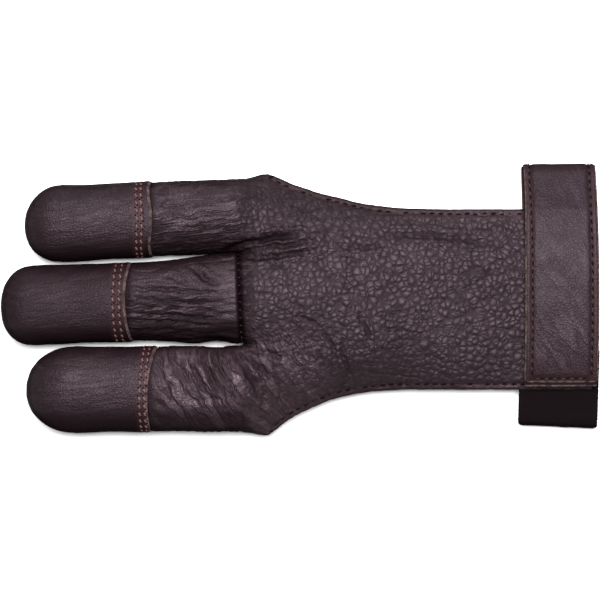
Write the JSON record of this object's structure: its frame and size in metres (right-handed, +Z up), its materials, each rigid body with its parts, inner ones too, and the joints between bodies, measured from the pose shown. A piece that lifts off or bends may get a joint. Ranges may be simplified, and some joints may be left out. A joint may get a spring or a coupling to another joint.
{
  "type": "archery glove",
  "caption": "Leather shooting glove with capped finger stalls, an open palm and a strap and elastic wrist loop, lying palm down.",
  "frame": {"origin": "on the surface that the glove lies on, under the middle of its length and width", "axes": "+X from the fingertips to the wrist, +Y from the index finger to the ring finger, +Z up from the surface out of the back of the hand"},
  "size_m": [0.1912, 0.0872, 0.0203],
  "materials": {
    "grain_leather": "pebbled, dark brown with a plum cast",
    "smooth_leather": "smooth, dark brown with a soft sheen",
    "strap_leather": "fine grained, dark brown",
    "elastic_webbing": "ribbed black elastic",
    "hook_tape": "black hook and loop tape"
  },
  "bodies": {
    "root": {"back_panel": "grain_leather", "middle_sleeve": "grain_leather", "ring_cap": "smooth_leather", "middle_cap": "smooth_leather", "index_cap": "smooth_leather", "wrist_strap": "strap_leather", "elastic_band": "elastic_webbing", "fastening_tape": "hook_tape"}
  },
  "joints": []
}
